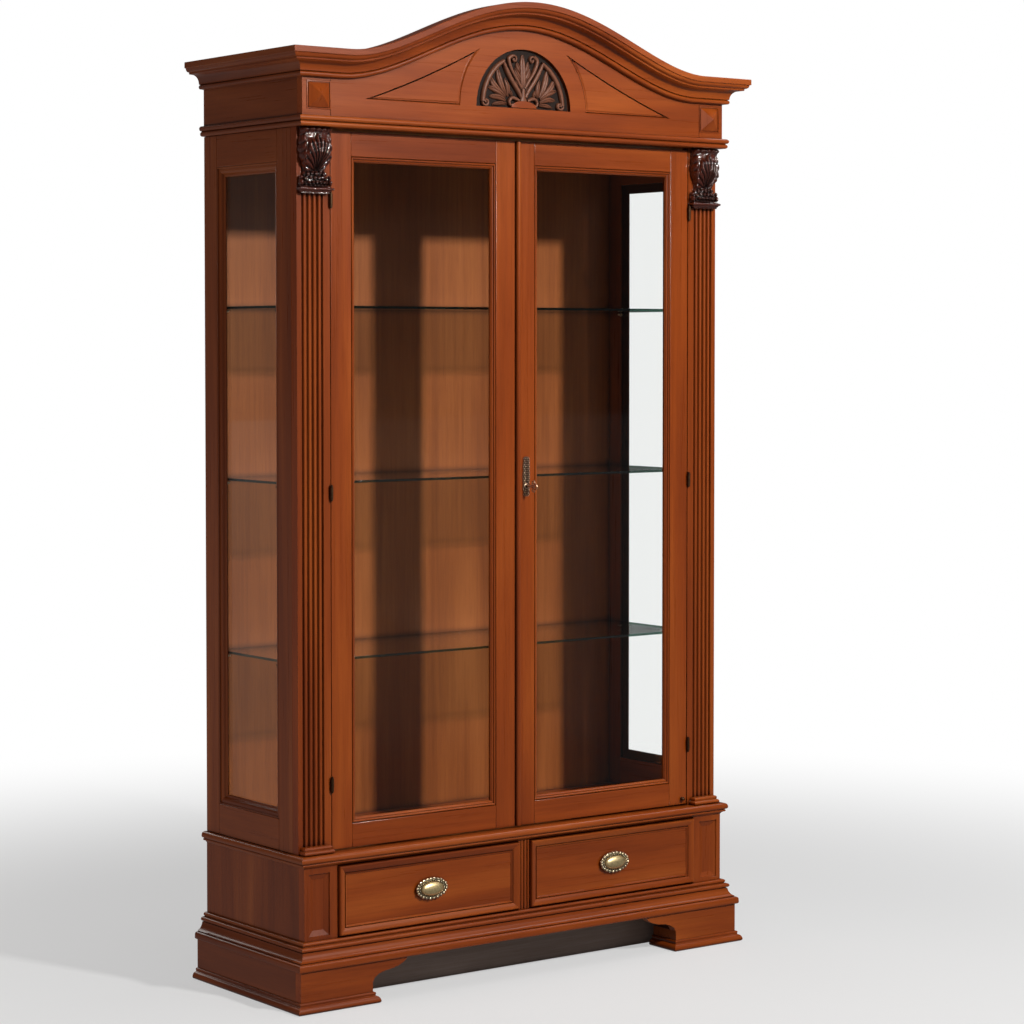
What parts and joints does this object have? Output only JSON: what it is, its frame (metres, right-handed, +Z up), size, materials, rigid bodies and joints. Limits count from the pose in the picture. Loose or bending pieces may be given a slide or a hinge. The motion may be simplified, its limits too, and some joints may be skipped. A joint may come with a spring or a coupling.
{
  "type": "china cabinet with glass doors",
  "caption": "Tall classic display cabinet: glazed doors between reeded pilasters over drawers, glass sides, arched crown, bracket feet.",
  "frame": {"origin": "centre of the footprint, on the floor", "axes": "+Z up, -Y towards the front (the doors and drawers), +X to the viewer's right"},
  "size_m": [1.3, 0.465, 2.229],
  "materials": {
    "front_wood": "stained and lacquered, gloss",
    "side_wood": "stained and lacquered, satin gloss",
    "dark_wood": "greyish dark stain, satin",
    "inner_wood": "lightly sealed",
    "carved_wood": "dark antique stain, high gloss on the relief",
    "clear_glass": "polished, bevelled edges",
    "old_brass": "antique, darkened in the hollows"
  },
  "bodies": {
    "case": {"plinth_foot_left": "front_wood", "plinth_foot_right": "front_wood", "plinth_side_left": "side_wood", "plinth_side_right": "side_wood", "plinth_kickboard": "dark_wood", "plinth_back": "dark_wood", "floor_moulding_left": "front_wood", "floor_moulding_right": "front_wood", "base_moulding": "front_wood", "lower_side_left": "side_wood", "lower_side_right": "side_wood", "lower_bottom": "inner_wood", "lower_back": "dark_wood", "drawer_divider": "front_wood", "corner_post_left": "front_wood", "corner_post_right": "front_wood", "waist_board": "front_wood", "side_frame_left": "side_wood", "side_frame_right": "side_wood", "side_bead_left": "side_wood", "side_bead_right": "side_wood", "side_glass_left": "clear_glass", "side_glass_right": "clear_glass", "upper_back": "side_wood", "top_board": "inner_wood", "glass_shelf_1": "clear_glass", "glass_shelf_2": "clear_glass", "glass_shelf_3": "clear_glass", "pilaster_left": "front_wood", "pilaster_right": "front_wood", "pilaster_base_left": "front_wood", "pilaster_base_right": "front_wood", "corbel_left": "carved_wood", "corbel_right": "carved_wood", "frieze_bead": "front_wood", "frieze_front": "front_wood", "frieze_side_left": "side_wood", "frieze_side_right": "side_wood", "frieze_carving": "carved_wood", "crown_moulding": "front_wood", "hinge_left_bottom": "old_brass", "hinge_left_middle": "old_brass", "hinge_left_top": "old_brass", "hinge_right_bottom": "old_brass", "hinge_right_middle": "old_brass", "hinge_right_top": "old_brass"},
    "door_left": {"door_frame_left": "front_wood", "door_glass_left": "clear_glass"},
    "door_right": {"door_frame_right": "front_wood", "door_glass_right": "clear_glass", "door_astragal": "front_wood", "lock_case": "old_brass", "escutcheon": "old_brass"},
    "key": {"key": "old_brass"},
    "drawer_left": {"drawer_front_left": "front_wood", "drawer_box_left": "inner_wood", "drawer_knob_left": "old_brass"},
    "drawer_right": {"drawer_front_right": "front_wood", "drawer_box_right": "inner_wood", "drawer_knob_right": "old_brass"}
  },
  "joints": [
    {"name": "door_left_hinge", "type": "hinge", "parent": "case", "child": "door_left", "pos_m": [-0.514, -0.1628, 1.128], "axis": [0, 0, -1], "range_deg": [0, 105]},
    {"name": "door_right_hinge", "type": "hinge", "parent": "case", "child": "door_right", "pos_m": [0.514, -0.1628, 1.128], "axis": [0, 0, 1], "range_deg": [0, 105]},
    {"name": "key_turn", "type": "hinge", "parent": "door_right", "child": "key", "pos_m": [0.024, -0.1628, 1.127], "axis": [0, 1, 0], "range_deg": [0, 90]},
    {"name": "drawer_left_slide", "type": "slide", "parent": "case", "child": "drawer_left", "axis": [0, -1, 0], "range_m": [0, 0.28]},
    {"name": "drawer_right_slide", "type": "slide", "parent": "case", "child": "drawer_right", "axis": [0, -1, 0], "range_m": [0, 0.28]}
  ]
}
